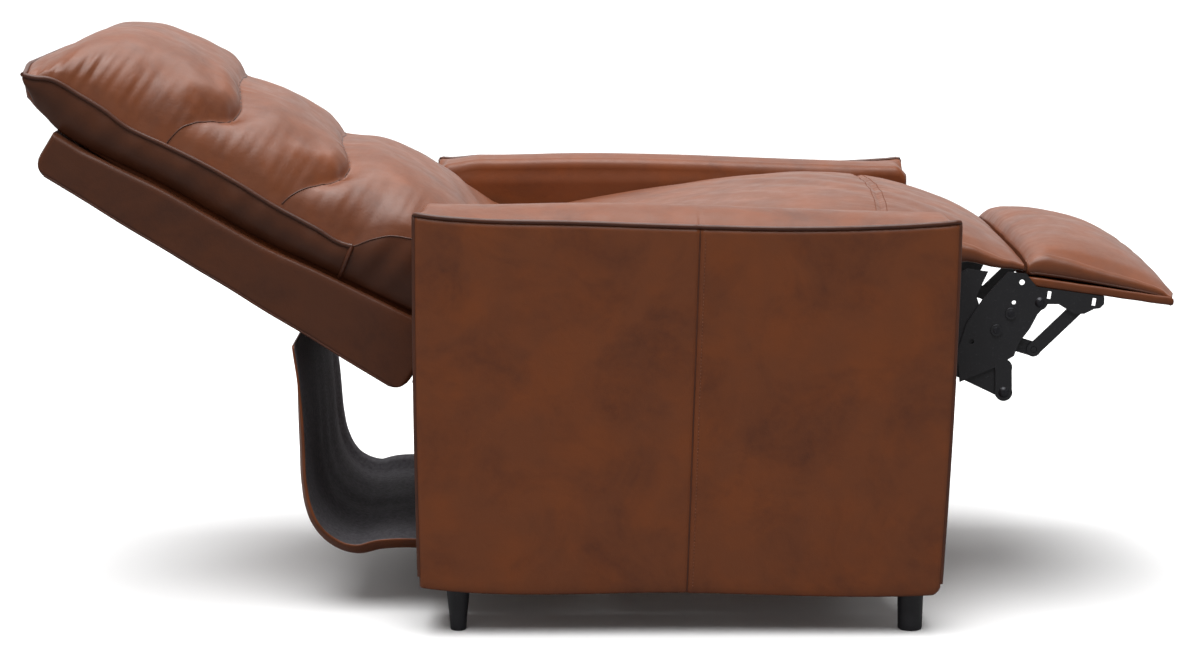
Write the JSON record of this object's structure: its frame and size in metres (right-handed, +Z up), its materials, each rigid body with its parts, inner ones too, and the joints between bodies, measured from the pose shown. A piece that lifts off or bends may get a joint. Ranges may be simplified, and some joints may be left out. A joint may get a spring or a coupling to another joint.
{
  "type": "recliner armchair",
  "caption": "Push-back recliner armchair with padded arms, puffed back cushion, folding footrest on a steel linkage and low feet.",
  "frame": {"origin": "on the floor under the middle of the whole chair, reclined with the footrest out", "axes": "+X to the chair's front, +Z up, +Y to the sitter's left"},
  "size_m": [1.6232, 0.78, 0.8266],
  "materials": {
    "leather": "mottled brown, satin",
    "mechanism_steel": "semi-gloss black paint",
    "spring_wire": "drawn wire",
    "foot_plastic": "satin black",
    "frame_wood": "plain plywood",
    "foam": "open foam",
    "fibre_fill": "fibre fill in a thin casing",
    "webbing": "woven elastic webbing"
  },
  "bodies": {
    "base": {"arm_panel_outer_left": "frame_wood", "arm_panel_outer_right": "frame_wood", "arm_panel_inner_left": "frame_wood", "arm_panel_inner_right": "frame_wood", "arm_ribs_left": "frame_wood", "arm_ribs_right": "frame_wood", "arm_pad_left": "foam", "arm_pad_right": "foam", "arm_cover_left": "leather", "arm_cover_right": "leather", "front_rail": "frame_wood", "rear_rail": "frame_wood", "foot_front_left": "foot_plastic", "foot_front_right": "foot_plastic", "foot_rear_left": "foot_plastic", "foot_rear_right": "foot_plastic", "base_plate_left": "mechanism_steel", "base_plate_right": "mechanism_steel", "base_screws": "mechanism_steel", "base_rivets": "mechanism_steel", "rear_flap": "leather"},
    "back": {"back_stile_left": "frame_wood", "back_stile_right": "frame_wood", "back_top_rail": "frame_wood", "back_bottom_rail": "frame_wood", "back_webbing": "webbing", "back_board_cover": "leather", "back_bracket_left": "mechanism_steel", "back_bracket_right": "mechanism_steel", "back_screws": "mechanism_steel", "head_fill": "fibre_fill", "middle_fill": "fibre_fill", "lower_fill": "fibre_fill", "back_cushion_cover": "leather"},
    "hangers": {"front_hanger_left": "mechanism_steel", "front_hanger_right": "mechanism_steel"},
    "seat": {"seat_side_rail_left": "frame_wood", "seat_side_rail_right": "frame_wood", "seat_front_rail": "frame_wood", "seat_rear_rail": "frame_wood", "seat_springs": "spring_wire", "seat_foam": "foam", "seat_cover": "leather", "seat_plate_left": "mechanism_steel", "seat_plate_right": "mechanism_steel", "cross_tube": "mechanism_steel", "seat_rivets": "mechanism_steel"},
    "curved_plates": {"curved_plate_left": "mechanism_steel", "curved_plate_right": "mechanism_steel"},
    "support_links": {"support_link_left": "mechanism_steel", "support_link_right": "mechanism_steel"},
    "brace_links": {"brace_link_left": "mechanism_steel", "brace_link_right": "mechanism_steel"},
    "footrest": {"footrest_bracket_left": "mechanism_steel", "footrest_bracket_right": "mechanism_steel", "footrest_board": "frame_wood", "footrest_board_cover": "leather", "footrest_pad": "foam", "footrest_cover": "leather"}
  },
  "joints": [
    {"name": "back_recline", "type": "hinge", "parent": "base", "child": "back", "pos_m": [-0.17417, 0, 0.52067], "axis": [0, 1, 0], "range_deg": [0, 45], "deforming": ["rear_flap"]},
    {"name": "front_hanger_swing", "type": "hinge", "parent": "base", "child": "hangers", "pos_m": [0.33482, 0, 0.44467], "axis": [0, 1, 0], "range_deg": [-0.3, 45.3]},
    {"name": "seat_level", "type": "hinge", "parent": "hangers", "child": "seat", "pos_m": [0.36161, 0, 0.38], "axis": [0, 1, 0], "range_deg": [-45.3, 0.3]},
    {"name": "curved_plate_turn", "type": "hinge", "parent": "seat", "child": "curved_plates", "pos_m": [0.56901, 0, 0.325], "axis": [0, 1, 0], "range_deg": [-15.06, 0.3]},
    {"name": "footrest_fold", "type": "hinge", "parent": "curved_plates", "child": "footrest", "pos_m": [0.61761, 0, 0.455], "axis": [0, 1, 0], "range_deg": [0, 94.76]},
    {"name": "support_link_turn", "type": "hinge", "parent": "seat", "child": "support_links", "pos_m": [0.53161, 0, 0.41], "axis": [0, 1, 0], "range_deg": [-0.3, 64.56]},
    {"name": "brace_link_turn", "type": "hinge", "parent": "footrest", "child": "brace_links", "pos_m": [0.67461, 0, 0.448], "axis": [0, 1, 0], "range_deg": [-98.01, 0.3]}
  ],
  "couplings": [
    {"joint": "front_hanger_swing", "follows": "back_recline", "ratio": 1},
    {"joint": "seat_level", "follows": "back_recline", "ratio": -1},
    {"joint": "curved_plate_turn", "follows": "footrest_fold", "ratio": -0.15576},
    {"joint": "support_link_turn", "follows": "footrest_fold", "ratio": 0.67811},
    {"joint": "brace_link_turn", "follows": "footrest_fold", "ratio": -1.0311}
  ]
}
